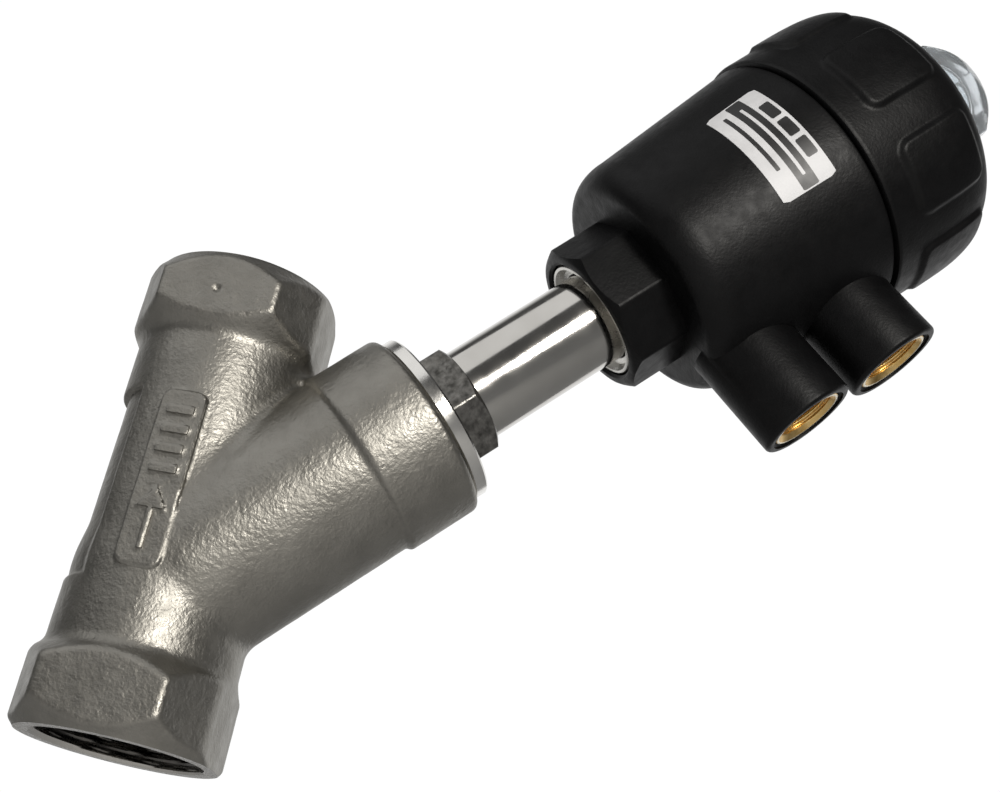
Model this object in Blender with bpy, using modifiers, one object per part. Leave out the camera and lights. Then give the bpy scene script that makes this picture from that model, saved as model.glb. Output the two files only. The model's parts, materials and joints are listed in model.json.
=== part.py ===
"""Pneumatic angle-seat valve: a cast Y body with threaded ends and a spring-return piston actuator.

The pipe axis is +Z, with the inlet face at z = 0. The actuator axis leans 45 degrees from +Z towards +X.
Every actuator piece is drawn along its own +Z and then laid on that leaning axis.
Lengths below are in millimetres and are turned into metres by mm().
"""
import math

import bmesh
import bpy
from mathutils import Matrix, Vector

# ---- driving dimensions, mm ----
LENGTH = 96.0            # inlet face to outlet face
AXIS_Z = 31.7            # height where the two axes cross
LEAN = math.radians(45)  # actuator axis from the pipe axis
GAP = 0.3                # play between pieces that touch

PIPE_R = 18.4
WRENCH_AF = 41.0         # across the flats of both ends
WRENCH_LEFT = 19.7       # where the corners away from the branch are ground flat
WRENCH_RIGHT = 18.5      # the same on the side of the branch
THREAD_R = 15.15         # G1 core
THREAD_DEPTH = 18.0
PASSAGE_R = 14.0
BRANCH_R = 18.9
COLLAR_R = 19.8
COLLAR_START = 44.3
COLLAR_END = 60.2
CHAMBER_R = 15.8
SEAT_R = 11.5
SEAT_UNDER = 3.5         # lower side of the seat wall, along the actuator axis
SEAT_FACE = 8.0

STEM_R = 4.0
TIP_R = 3.0              # reduced ends of the stem
STEM_END = 140.5
PLUG_R = 13.6
SEAL_R = 13.2

FLANGE_R = 18.0
FLANGE_START = COLLAR_END + GAP
FLANGE_END = 63.5
BONNET_AF = 22.5
BONNET_END = 70.6
BONNET_TURN = math.radians(24.6)
SPIGOT_R = CHAMBER_R - GAP
SPIGOT_START = 43.0
PACKING_R = 7.0
PACKING_START = 46.0
PACKING_END = 65.1

TUBE_R = 9.8
TUBE_BORE = 7.6
TUBE_START = PACKING_END + GAP
TUBE_END = 108.3
TUBE_FLANGE_R = 12.6
TUBE_FLANGE_START = 105.8

COLLAR8_AF = 30.7        # eight-sided collar at the foot of the actuator
COLLAR8_START = 100.8
COLLAR8_TURN = math.radians(24.5)
RECESS_R = 13.2
RECESS_END = 108.6
BUSH_R = 8.3
FLOOR = 118.5            # floor of the cylinder
CYLINDER_R = 24.0
HOUSING_END = 154.7
FOOT_R = 22.0            # centre of the rounded foot
FOOT_S = 121.0
FOOT = 4.5               # the rounding, across and along the axis
FOOT_DEPTH = 7.4
RIM_R = 29.5
RIM_EDGE = 0.8
REBATE_R = 27.0
REBATE_START = 145.5

PISTON_START = 125.5
PISTON_END = 133.5
PISTON_R = 23.4

PORT_TURN = math.radians(90) # port direction, from the front towards the down side
PORT_LOW = 122.7
PORT_HIGH = 144.6
PORT_FACE = 42.7
BOSS_R = 10.0
INSERT_R = 7.6
INSERT_BORE = 5.9
INSERT_DEPTH = 11.6

COVER_START = HOUSING_END + GAP
COVER_R = 30.5
PAD_R = 31.1
PAD_START = 161.4
PAD_END = 174.5
PAD_COUNT = 8
PAD_GROOVE = 8.4
PAD_TURN = math.radians(19.8)
DOME_START = 156.4
DOME_RISE = 28.1
DOME_POWER = 5.7         # how square the shoulder of the cover is
CEILING = 180.5
EYE_R = 9.0              # threaded hole for the sight cap

SIGHT_TURN = math.radians(15)
SIGHT_AF = 22.9
SIGHT_START = 184.7
SIGHT_END = 198.7

ROUND = 32
SMALL_ROUND = 20
WIRE_ROUND = 2
EPS = 0.05
FACET = math.tau / ROUND


def mm(value):
    return value * 0.001


# ---- scene helpers ----
def clear_scene():
    for obj in list(bpy.data.objects):
        bpy.data.objects.remove(obj, do_unlink=True)


def new_collection(name):
    collection = bpy.data.collections.new(name)
    bpy.context.scene.collection.children.link(collection)
    return collection


def make_material(name, color, metallic, roughness, alpha=1.0):
    material = bpy.data.materials.new(name)
    material.use_nodes = True
    shader = material.node_tree.nodes["Principled BSDF"]
    shader.inputs["Base Color"].default_value = (*color, 1.0)
    shader.inputs["Metallic"].default_value = metallic
    shader.inputs["Roughness"].default_value = roughness
    shader.inputs["Alpha"].default_value = alpha
    return material


def lay_on_actuator_axis(obj):
    obj.location = (0.0, 0.0, mm(AXIS_Z))
    obj.rotation_euler = (0.0, LEAN, 0.0)


def object_from_bmesh(name, bm, smooth):
    mesh = bpy.data.meshes.new(name)
    bm.to_mesh(mesh)
    bm.free()
    for polygon in mesh.polygons:
        polygon.use_smooth = smooth
    obj = bpy.data.objects.new(name, mesh)
    return obj


def add_part(obj, material, leaning=True):
    if leaning:
        lay_on_actuator_axis(obj)
    obj.data.materials.append(material)
    PARTS.objects.link(obj)
    return obj


def add_cutter(obj, leaning=True, turn=0.0):
    """Keeps a shaping piece out of the object; `turn` spins it about its own axis."""
    if leaning:
        lay_on_actuator_axis(obj)
    obj.rotation_euler = (obj.rotation_euler.to_matrix() @ rotation_z(turn)).to_euler()
    obj.hide_render = True
    obj.display_type = "WIRE"
    CUTTERS.objects.link(obj)
    return obj


def boolean(obj, other, operation):
    modifier = obj.modifiers.new(operation.title() + " " + other.name, "BOOLEAN")
    modifier.operation = operation
    modifier.solver = "EXACT"
    modifier.object = other


def cut(obj, *others):
    for other in others:
        boolean(obj, other, "DIFFERENCE")


def join(obj, *others):
    for other in others:
        boolean(obj, other, "UNION")


def keep(obj, *others):
    for other in others:
        boolean(obj, other, "INTERSECT")


# ---- shape helpers ----
def turned(name, profile, closed, segments=ROUND, smooth=True):
    """A turned piece: profile is (radius, height) in mm, down the outside and up the inside."""
    mesh = bpy.data.meshes.new(name)
    points = [(mm(r), 0.0, mm(s)) for r, s in profile]
    edges = [(i, i + 1) for i in range(len(points) - 1)]
    if closed:
        edges.append((len(points) - 1, 0))
    mesh.from_pydata(points, edges, [])
    obj = bpy.data.objects.new(name, mesh)
    screw = obj.modifiers.new("Turn", "SCREW")
    screw.axis = "Z"
    screw.angle = math.tau
    screw.steps = segments
    screw.render_steps = segments
    screw.use_merge_vertices = True
    screw.merge_threshold = 0.00001
    screw.use_smooth_shade = smooth
    return obj


def rod(name, radius, start, end, segments=ROUND):
    profile = [(0.0, end), (radius, end), (radius, start), (0.0, start)]
    return turned(name, profile, closed=False, segments=segments)


def ring(name, inner, outer, start, end, segments=SMALL_ROUND, edge=0.0):
    """A plain ring, with its outer edges broken by `edge`."""
    if edge:
        outside = [(outer - edge, end), (outer, end - edge), (outer, start + edge), (outer - edge, start)]
    else:
        outside = [(outer, end), (outer, start)]
    profile = outside + [(inner, start), (inner, end)]
    return turned(name, profile, closed=True, segments=segments)


def o_ring(name, radius, thickness, center, sides=10):
    profile = []
    for i in range(sides):
        angle = math.tau * (0.5 - i) / sides
        profile.append((radius + thickness * math.cos(angle), center + thickness * math.sin(angle)))
    return turned(name, profile, closed=True, segments=SMALL_ROUND)


def prism(name, sides, across_flats, start, end, turn):
    """A prism whose first corner is at `turn` from the front (-Y) towards +X."""
    bm = bmesh.new()
    corner = mm(across_flats / 2 / math.cos(math.pi / sides))
    bmesh.ops.create_cone(
        bm, cap_ends=True, segments=sides, radius1=corner, radius2=corner, depth=mm(end - start)
    )
    first = max(bm.verts, key=lambda v: v.co.x).co
    from_x = math.atan2(first.y, first.x)
    bmesh.ops.rotate(bm, verts=bm.verts, matrix=rotation_z(turn - math.pi / 2 - from_x))
    bmesh.ops.translate(bm, verts=bm.verts, vec=(0.0, 0.0, mm((start + end) / 2)))
    return object_from_bmesh(name, bm, smooth=False)


def rotation_z(angle):
    return Matrix.Rotation(angle, 3, "Z")


def box(name, low, high):
    bm = bmesh.new()
    bmesh.ops.create_cube(bm, size=1.0)
    size = Vector([mm(h - l) for l, h in zip(low, high)])
    center = Vector([mm((h + l) / 2) for l, h in zip(low, high)])
    bmesh.ops.scale(bm, verts=bm.verts, vec=size)
    bmesh.ops.translate(bm, verts=bm.verts, vec=center)
    return object_from_bmesh(name, bm, smooth=False)


def coil(name, radius, wire, start, end, turns, material):
    """A compression spring as a round wire wound along the axis."""
    per_turn = 10
    count = int(per_turn * turns) + 1
    low = start + wire
    high = end - wire
    curve = bpy.data.curves.new(name + "_wire", "CURVE")
    curve.dimensions = "3D"
    curve.bevel_depth = mm(wire)
    curve.bevel_resolution = WIRE_ROUND
    curve.use_fill_caps = True
    spline = curve.splines.new("POLY")
    spline.points.add(count - 1)
    for i in range(count):
        angle = math.tau * i / per_turn
        height = low + (high - low) * i / (count - 1)
        spline.points[i].co = (mm(radius * math.cos(angle)), mm(radius * math.sin(angle)), mm(height), 1.0)
    wire_object = bpy.data.objects.new(name + "_wire", curve)
    bpy.context.scene.collection.objects.link(wire_object)
    bpy.context.view_layer.update()
    mesh = bpy.data.meshes.new_from_object(wire_object.evaluated_get(bpy.context.evaluated_depsgraph_get()))
    bpy.data.objects.remove(wire_object, do_unlink=True)
    bm = bmesh.new()
    bm.from_mesh(mesh)
    bmesh.ops.remove_doubles(bm, verts=bm.verts, dist=0.000001)
    obj = object_from_bmesh(name, bm, smooth=True)
    return add_part(obj, material)


# ---- valve body ----
def slanted_passage(name, flat_end, slant_along):
    """A round passage on the pipe axis that ends on a plane square to the actuator axis."""
    bm = bmesh.new()
    bmesh.ops.create_cone(
        bm, cap_ends=True, segments=ROUND, radius1=mm(PASSAGE_R), radius2=mm(PASSAGE_R), depth=mm(2.0)
    )
    slanted_is_top = flat_end < AXIS_Z
    for vert in bm.verts:
        is_top = vert.co.z > 0
        if is_top == slanted_is_top:
            vert.co.z = mm(AXIS_Z + slant_along / math.cos(LEAN)) - vert.co.x * math.tan(LEAN)
        else:
            vert.co.z = mm(flat_end)
    return object_from_bmesh(name, bm, smooth=True)


def wrench_end(name, low, high, face_chamfer, outer_is_high):
    """Hexagon end: flats to the front, chamfered both ways, its side corners ground flat."""
    hexagon = add_cutter(prism(name, 6, WRENCH_AF, low, high, math.radians(30)), leaning=False)
    corner = WRENCH_AF / 2 / math.cos(math.pi / 6)
    shoulder_chamfer = 4.4
    face_r = WRENCH_AF / 2 - 1.3
    if outer_is_high:
        outline = [(0, high), (face_r, high), (corner, high - face_chamfer)]
        outline += [(corner, low + shoulder_chamfer), (PIPE_R + 0.3, low), (0, low)]
    else:
        outline = [(0, high), (PIPE_R + 0.3, high), (corner, high - shoulder_chamfer)]
        outline += [(corner, low + face_chamfer), (face_r, low), (0, low)]
    outline = [(r, s + (EPS if s == high else -EPS if s == low else 0)) for r, s in outline]
    barrel = add_cutter(turned(name + "_chamfer", outline, closed=False), leaning=False, turn=FACET / 2)
    sides = box(name + "_sides", (-WRENCH_LEFT, -30, low - 1), (WRENCH_RIGHT, 30, high + 1))
    slab = add_cutter(sides, leaning=False)
    keep(hexagon, barrel, slab)
    return hexagon


def marking_plate(name):
    """Raised plate with rounded corners on the front of the pipe."""
    plate = box(name, (-4.9, -PIPE_R - 0.7, 29.9), (4.0, -PIPE_R + 1.8, 65.3))
    bm = bmesh.new()
    bm.from_mesh(plate.data)
    corners = [e for e in bm.edges if abs(e.verts[0].co.y - e.verts[1].co.y) > mm(1.0)]
    bmesh.ops.bevel(
        bm, geom=corners, offset=mm(2.0), offset_type="OFFSET", segments=4, profile=0.5, affect="EDGES"
    )
    bm.to_mesh(plate.data)
    bm.free()
    return plate


def valve_body(material):
    body = add_part(rod("valve_body", PIPE_R, 2.0, LENGTH - 2.0), material, leaning=False)
    inlet_end = wrench_end("inlet_wrench", 0.0, 15.8, 4.4, outer_is_high=False)
    outlet_end = wrench_end("outlet_wrench", LENGTH - 16.4, LENGTH, 5.8, outer_is_high=True)

    branch_outline = [(0, COLLAR_END), (COLLAR_R - 0.8, COLLAR_END)]
    branch_outline += [(COLLAR_R, COLLAR_END - 0.8), (COLLAR_R, COLLAR_START + 0.7)]
    branch_outline += [(BRANCH_R, COLLAR_START), (BRANCH_R, 7.0), (PIPE_R - 0.6, 1.0)]
    branch_outline += [(12.0, -6.0), (0, -6.0)]
    branch = add_cutter(turned("branch", branch_outline, closed=False), turn=FACET / 2)
    plate = add_cutter(marking_plate("marking_plate"), leaning=False)

    relief_ring = ring("side_relief", PIPE_R - 1.0, 26.0, 28.0, 66.8, segments=ROUND)
    relief = add_cutter(relief_ring, leaning=False, turn=FACET / 4)
    relief_side = add_cutter(box("side_relief_limit", (-30, -30, 20), (-10.6, 30, 75)), leaning=False)
    keep(relief, relief_side)

    mouth = THREAD_R + 1.2
    socket = [(0, THREAD_DEPTH), (THREAD_R, THREAD_DEPTH), (THREAD_R, 1.4), (mouth, 0), (mouth, -1), (0, -1)]
    far_socket = [(r, LENGTH - z) for r, z in reversed(socket)]
    inlet = add_cutter(turned("inlet_thread", socket, closed=False), leaning=False)
    outlet = add_cutter(turned("outlet_thread", far_socket, closed=False), leaning=False)
    lower_passage = slanted_passage("inlet_passage", THREAD_DEPTH - 1.0, SEAT_UNDER)
    upper_passage = slanted_passage("outlet_passage", LENGTH - THREAD_DEPTH + 1.0, SEAT_FACE + 0.6)
    lower = add_cutter(lower_passage, leaning=False)
    upper = add_cutter(upper_passage, leaning=False)
    top = COLLAR_END + 1.0
    gasket_r = CHAMBER_R + 1.9
    room = [(0, top), (gasket_r, top), (gasket_r, COLLAR_END - 0.9), (CHAMBER_R, COLLAR_END - 0.9)]
    room += [(CHAMBER_R, SEAT_FACE), (SEAT_R, SEAT_FACE), (SEAT_R, SEAT_UNDER - 1.0), (0, SEAT_UNDER - 1.0)]
    chamber = add_cutter(turned("chamber", room, closed=False), turn=FACET / 3)

    join(body, inlet_end, outlet_end, branch)
    cut(body, relief)
    join(body, plate)
    cut(body, inlet, outlet, lower, upper, chamber)
    return body


def body_gasket(material):
    gasket = ring("body_gasket", CHAMBER_R + 0.4, CHAMBER_R + 1.6, COLLAR_END - 0.6, COLLAR_END, ROUND)
    return add_part(gasket, material)


# ---- bonnet, packing and neck ----
def bonnet(material):
    outline = [(0, FLANGE_END + 1.0), (10.5, FLANGE_END + 1.0), (10.5, FLANGE_END)]
    outline += [(FLANGE_R - 0.3, FLANGE_END), (FLANGE_R, FLANGE_END - 0.3)]
    outline += [(FLANGE_R, FLANGE_START + 0.2), (FLANGE_R - 0.2, FLANGE_START)]
    outline += [(SPIGOT_R, FLANGE_START), (SPIGOT_R, SPIGOT_START + 0.8)]
    outline += [(SPIGOT_R - 0.8, SPIGOT_START), (0, SPIGOT_START)]
    piece = add_part(turned("bonnet", outline, closed=False), material)

    hexagon = add_cutter(prism("bonnet_hexagon", 6, BONNET_AF, FLANGE_END - 0.5, BONNET_END, BONNET_TURN))
    corner = BONNET_AF / 2 / math.cos(math.pi / 6)
    shoulder = [(0, BONNET_END + EPS), (BONNET_AF / 2 - 0.4, BONNET_END + EPS)]
    shoulder += [(corner + 0.6, BONNET_END - 1.2), (corner + 0.6, FLANGE_END - 1.0), (0, FLANGE_END - 1.0)]
    keep(hexagon, add_cutter(turned("bonnet_hexagon_chamfer", shoulder, closed=False)))

    bore = [(0, BONNET_END + 1.0), (TUBE_R + GAP, BONNET_END + 1.0), (TUBE_R + GAP, PACKING_END)]
    bore += [(PACKING_R, PACKING_END), (PACKING_R, PACKING_START), (STEM_R + 0.6, PACKING_START)]
    bore += [(STEM_R + 0.6, SPIGOT_START - 1.0), (0, SPIGOT_START - 1.0)]
    join(piece, hexagon)
    cut(piece, add_cutter(turned("bonnet_bore", bore, closed=False, segments=SMALL_ROUND)))
    return piece


def packing(ring_material, metal, spring_material):
    inner = STEM_R + GAP
    outer = PACKING_R - GAP
    base = PACKING_START + GAP
    add_part(ring("packing_support", inner, outer, base, base + 1.0), metal)
    spring_top = base + 9.2
    coil("packing_spring", 5.5, 0.6, base + 1.0 + GAP, spring_top, 4.0, spring_material)
    add_part(ring("packing_follower", inner, outer, spring_top + GAP, spring_top + 1.3), metal)
    height = 1.9
    for i in range(3):
        low = spring_top + 1.6 + i * (height + GAP)
        middle = (inner + outer) / 2
        profile = [(outer, low + height), (outer, low), (middle, low + 0.6)]
        profile += [(inner, low), (inner, low + height), (middle, low + height + 0.2)]
        chevron = turned("packing_ring_%d" % (i + 1), profile, closed=True, segments=SMALL_ROUND)
        add_part(chevron, ring_material)
    gland_low = spring_top + 1.6 + 3 * (height + GAP) + 0.2
    head = TUBE_BORE - 0.4
    profile = [(head, BONNET_END - 2.0), (head, TUBE_START + 0.2), (outer, TUBE_START + 0.2)]
    profile += [(outer, gland_low), (inner, gland_low), (inner, BONNET_END - 2.0)]
    add_part(turned("packing_gland", profile, closed=True, segments=SMALL_ROUND), metal)


def neck_tube(material):
    profile = [(TUBE_FLANGE_R, TUBE_END), (TUBE_FLANGE_R, TUBE_FLANGE_START), (TUBE_R, TUBE_FLANGE_START)]
    profile += [(TUBE_R, TUBE_START), (TUBE_BORE, TUBE_START), (TUBE_BORE, TUBE_END)]
    return add_part(turned("neck_tube", profile, closed=True), material)


# ---- stem, plug and piston ----
def stem(material):
    shoulder = SEAT_FACE + 4.7
    piston_seat = PISTON_START - GAP
    profile = [(0, STEM_END), (TIP_R - 0.4, STEM_END), (TIP_R, STEM_END - 0.4), (TIP_R, piston_seat)]
    profile += [(STEM_R, piston_seat), (STEM_R, shoulder), (TIP_R, shoulder)]
    profile += [(TIP_R, 2.0), (TIP_R - 0.5, 1.5), (0, 1.5)]
    return add_part(turned("stem", profile, closed=False, segments=SMALL_ROUND), material)


def plug_pieces(metal, seal_material):
    low = SEAT_FACE + GAP
    thickness = 2.5
    bore = TIP_R + GAP
    add_part(ring("plug_seal", bore, SEAL_R, low, low + thickness, ROUND, edge=0.3), seal_material)
    back = low + thickness + GAP
    profile = [(6.0, back + 9.0), (7.0, back + 8.0), (7.0, back + 5.5), (PLUG_R, back + 3.0)]
    profile += [(PLUG_R, back), (bore, back), (bore, back + 1.3)]
    profile += [(STEM_R + GAP, back + 1.3), (STEM_R + GAP, back + 9.0)]
    add_part(turned("plug", profile, closed=True), metal)
    washer_top = low - GAP
    add_part(ring("seal_washer", bore, SEAT_R - 1.0, washer_top - 1.8, washer_top, edge=0.3), metal)
    nut_top = washer_top - 1.8 - GAP
    nut = add_part(prism("plug_nut", 6, 10.0, nut_top - 3.2, nut_top, 0.0), metal)
    cut(nut, add_cutter(rod("plug_nut_thread", bore, nut_top - 5.0, nut_top + 1.0, SMALL_ROUND)))


def piston(material):
    seal_groove = PISTON_R - 2.7
    wear_groove = PISTON_R - 1.5
    low = PISTON_START
    profile = [(19.5, PISTON_END), (PISTON_R, PISTON_END), (PISTON_R, low + 7.3), (wear_groove, low + 7.3)]
    profile += [(wear_groove, low + 5.4), (PISTON_R, low + 5.4), (PISTON_R, low + 4.2)]
    profile += [(seal_groove, low + 4.2), (seal_groove, low + 1.2)]
    profile += [(PISTON_R, low + 1.2), (PISTON_R, PISTON_START + 0.5)]
    profile += [(PISTON_R - 0.5, PISTON_START), (TIP_R + GAP, PISTON_START), (TIP_R + GAP, PISTON_END)]
    profile += [(8.5, PISTON_END), (8.5, low + 4.5), (19.5, low + 4.5)]
    return add_part(turned("piston", profile, closed=True), material)


def piston_trim(rubber, tape, metal, seal_groove, wear_groove):
    low = PISTON_START
    outer = CYLINDER_R - GAP
    add_part(ring("piston_seal", seal_groove, outer, low + 1.5, low + 3.9, ROUND, edge=0.4), rubber)
    add_part(ring("piston_wear_ring", wear_groove, outer, low + 5.7, low + 7.0, ROUND), tape)
    washer_low = PISTON_END + GAP
    add_part(ring("piston_washer", TIP_R + GAP, 7.5, washer_low, washer_low + 1.2), metal)
    nut_low = washer_low + 1.2 + GAP
    nut = add_part(prism("piston_nut", 6, 10.0, nut_low, nut_low + 4.0, 0.0), metal)
    cut(nut, add_cutter(rod("piston_nut_thread", TIP_R + GAP, nut_low - 1, nut_low + 6, SMALL_ROUND)))


def position_indicator(material):
    top = 184.1
    profile = [(0, top), (4.6, top), (5.4, top - 0.8), (5.4, top - 4.0), (2.4, top - 5.5)]
    profile += [(2.4, STEM_END + GAP), (0, STEM_END + GAP)]
    return add_part(turned("position_indicator", profile, closed=False, segments=24), material)


# ---- actuator housing ----
def housing_radius(height):
    """Radius of the slight cone between the foot and the rim."""
    share = (height - FOOT_S) / (HOUSING_END - RIM_EDGE - FOOT_S)
    return FOOT_R + FOOT + (RIM_R - FOOT_R - FOOT) * share


def housing_outline():
    """Outside of the housing: a rounded foot, a slight cone and a broken rim."""
    points = [(0, HOUSING_END), (RIM_R - 0.5, HOUSING_END), (RIM_R, HOUSING_END - RIM_EDGE)]
    steps = 6
    for i in range(steps + 1):
        angle = math.radians(84.0 * i / steps)
        points.append((FOOT_R + FOOT * math.cos(angle), FOOT_S - FOOT_DEPTH * math.sin(angle)))
    points += [(12.0, FOOT_S - FOOT_DEPTH), (0, FOOT_S - FOOT_DEPTH)]
    return points


def port_direction():
    return Vector((math.sin(PORT_TURN), -math.cos(PORT_TURN), 0.0))


def along_port(obj, height):
    """Turns a piece drawn along +Z so that it points out through a port at `height`."""
    direction = port_direction()
    turn = direction.to_track_quat("Z", "X")
    offset = Vector((0.0, 0.0, mm(height)))
    lay_on_actuator_axis(obj)
    frame = obj.rotation_euler.to_matrix()
    obj.location = obj.location + frame @ offset
    obj.rotation_euler = (frame @ turn.to_matrix()).to_euler()
    return obj


def actuator_housing(material):
    housing = add_part(turned("actuator_housing", housing_outline(), closed=False), material)

    collar = add_cutter(prism("collar_sides", 8, COLLAR8_AF, COLLAR8_START, FLOOR - 2.0, COLLAR8_TURN))
    corner = COLLAR8_AF / 2 / math.cos(math.pi / 8)
    outline = [(0, FLOOR), (corner + 1, FLOOR), (corner + 1, COLLAR8_START + 2.3)]
    outline += [(COLLAR8_AF / 2 - 0.2, COLLAR8_START - EPS), (0, COLLAR8_START - EPS)]
    keep(collar, add_cutter(turned("collar_chamfer", outline, closed=False), turn=FACET / 3))
    join(housing, collar)

    for number, height in enumerate((PORT_LOW, PORT_HIGH), 1):
        profile = [(0, PORT_FACE), (BOSS_R - 0.6, PORT_FACE), (BOSS_R, PORT_FACE - 0.6)]
        profile += [(BOSS_R, 20), (0, 20)]
        boss = turned("boss_%d" % number, profile, closed=False, segments=32)
        join(housing, add_cutter(along_port(boss, height), leaning=False))

    cylinder = [(0, HOUSING_END + 1), (REBATE_R, HOUSING_END + 1), (REBATE_R, REBATE_START)]
    cylinder += [(CYLINDER_R, REBATE_START), (CYLINDER_R, FLOOR), (BUSH_R, FLOOR), (BUSH_R, RECESS_END)]
    cylinder += [(RECESS_R, RECESS_END), (RECESS_R, COLLAR8_START - 1), (0, COLLAR8_START - 1)]
    cut(housing, add_cutter(turned("cylinder_space", cylinder, closed=False), turn=FACET / 2))

    for number, height in enumerate((PORT_LOW, PORT_HIGH), 1):
        inside = PORT_FACE - INSERT_DEPTH - 0.8
        socket = rod("port_socket_%d" % number, INSERT_R + GAP, inside, PORT_FACE + 1, SMALL_ROUND)
        cut(housing, add_cutter(along_port(socket, height), leaning=False, turn=FACET / 3))
        passage_height = height if number == 1 else height - 3.4
        passage = rod("port_passage_%d" % number, 1.8, 22.0, inside + 1.0, 16)
        cut(housing, add_cutter(along_port(passage, passage_height), leaning=False, turn=FACET / 5))
    return housing


def port_inserts(material):
    names = ("port_insert_lower", "port_insert_upper")
    for name, height in zip(names, (PORT_LOW, PORT_HIGH)):
        face = PORT_FACE - 0.4
        low = face - INSERT_DEPTH
        profile = [(INSERT_R, face), (INSERT_R, low), (INSERT_BORE, low)]
        profile += [(INSERT_BORE, face - 0.9), (INSERT_BORE + 0.7, face)]
        insert = turned(name, profile, closed=True, segments=SMALL_ROUND)
        insert.data.materials.append(material)
        PARTS.objects.link(along_port(insert, height))


def swivel_pieces(metal, seal, bushing):
    nut = ring("swivel_nut", TUBE_R + GAP, RECESS_R - GAP, COLLAR8_START + 0.4, 105.5, ROUND, edge=0.3)
    add_part(nut, metal)
    bush = ring("rod_bush", STEM_R + GAP, BUSH_R - GAP, RECESS_END + GAP, FLOOR - 4.6)
    add_part(bush, bushing)
    low, high = FLOOR - 4.3, FLOOR - 0.6
    lip = [(BUSH_R - GAP, high), (BUSH_R - GAP, low), (STEM_R + GAP, low), (STEM_R + GAP, high)]
    lip += [((STEM_R + BUSH_R) / 2, low + 1.9)]
    add_part(turned("rod_seal", lip, closed=True, segments=SMALL_ROUND), seal)


# ---- cover, springs and sight cap ----
def dome_radius(height):
    rise = min(1.0, max(0.0, (height - DOME_START) / DOME_RISE))
    return COVER_R * (1.0 - rise ** DOME_POWER) ** (1 / DOME_POWER)


def dome_points():
    """Outside of the cover from its eye down to the grip pads."""
    points = [(EYE_R, DOME_START + DOME_RISE)]
    for share in (0.9985, 0.993, 0.978, 0.955, 0.92, 0.87, 0.8, 0.7, 0.55):
        height = DOME_START + DOME_RISE * share
        points.append((dome_radius(height), height))
    return points


def actuator_cover(material):
    outline = dome_points()
    outline += [(COVER_R, PAD_START), (COVER_R - 0.2, COVER_START + 0.5), (COVER_R - 0.6, COVER_START)]
    outline += [(REBATE_R - GAP, COVER_START), (REBATE_R - GAP, REBATE_START + 2.2)]
    outline += [(CYLINDER_R + 0.4, REBATE_START + 2.2), (CYLINDER_R + 0.4, 172.0), (23.4, 177.5)]
    outline += [(21.0, CEILING), (EYE_R, CEILING)]
    cover = add_part(turned("actuator_cover", outline, closed=True), material)

    pad_outline = [(28.8, PAD_END), (COVER_R - 0.6, PAD_END), (PAD_R, PAD_END - 3.0)]
    pad_outline += [(PAD_R, PAD_START + 0.8), (COVER_R + 0.1, PAD_START), (28.8, PAD_START)]
    pads = add_cutter(turned("grip_pads", pad_outline, closed=True))
    for i in range(PAD_COUNT // 2):
        turn = PAD_TURN + math.tau * i / PAD_COUNT
        half = PAD_GROOVE / 2
        groove = box("grip_groove_%d" % (i + 1), (-half, -40, PAD_START - 3), (half, 40, PAD_END + 3))
        add_cutter(groove)
        groove.rotation_euler = (groove.rotation_euler.to_matrix() @ rotation_z(turn)).to_euler()
        cut(pads, groove)
    join(cover, pads)
    return cover


def cover_seal(material):
    return add_part(o_ring("cover_o_ring", 25.8, 0.8, REBATE_START + 1.1), material)


def return_springs(material):
    low = PISTON_START + 4.5 + GAP
    high = CEILING - GAP
    coil("outer_spring", 17.2, 1.5, low, high, 5.0, material)
    coil("inner_spring", 11.9, 1.1, low, high, 6.5, material)


def sight_cap(material):
    corner = SIGHT_AF / 2 / math.cos(math.pi / 6)
    cap = add_part(prism("sight_cap", 6, SIGHT_AF, SIGHT_START, SIGHT_END, SIGHT_TURN), material)
    outline = [(0, SIGHT_END + EPS), (SIGHT_AF / 2 - 0.8, SIGHT_END + EPS), (corner, SIGHT_END - 3.2)]
    outline += [(corner + 0.3, SIGHT_START - 1), (0, SIGHT_START - 1)]
    keep(cap, add_cutter(turned("sight_chamfer", outline, closed=False, segments=SMALL_ROUND)))
    join(cap, add_cutter(rod("sight_spigot", EYE_R - GAP, CEILING + 0.4, SIGHT_START + 1.0, SMALL_ROUND)))
    cut(cap, add_cutter(rod("sight_space", 6.2, CEILING - 1.0, SIGHT_END - 1.8, SMALL_ROUND)))
    return cap


def label_plate(material):
    """Thin foil wrapped round the front of the housing, following its cone."""
    first, last = math.radians(-26.0), math.radians(24.4)
    low, high = 136.5, 148.6
    play = 0.15
    mesh = bpy.data.meshes.new("label_plate")
    points = []
    for s in (high, low):
        radius = housing_radius(s) + play
        points.append((mm(radius * math.sin(first)), mm(-radius * math.cos(first)), mm(s)))
    mesh.from_pydata(points, [(0, 1)], [])
    label = bpy.data.objects.new("label_plate", mesh)
    screw = label.modifiers.new("Wrap", "SCREW")
    screw.axis = "Z"
    screw.angle = last - first
    screw.steps = 10
    screw.render_steps = 10
    shell = label.modifiers.new("Foil", "SOLIDIFY")
    shell.thickness = mm(0.3)
    shell.offset = 1.0
    return add_part(label, material)


# ---- assembly ----
clear_scene()
PARTS = new_collection("pneumatic_valve")
CUTTERS = new_collection("cutters")

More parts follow.
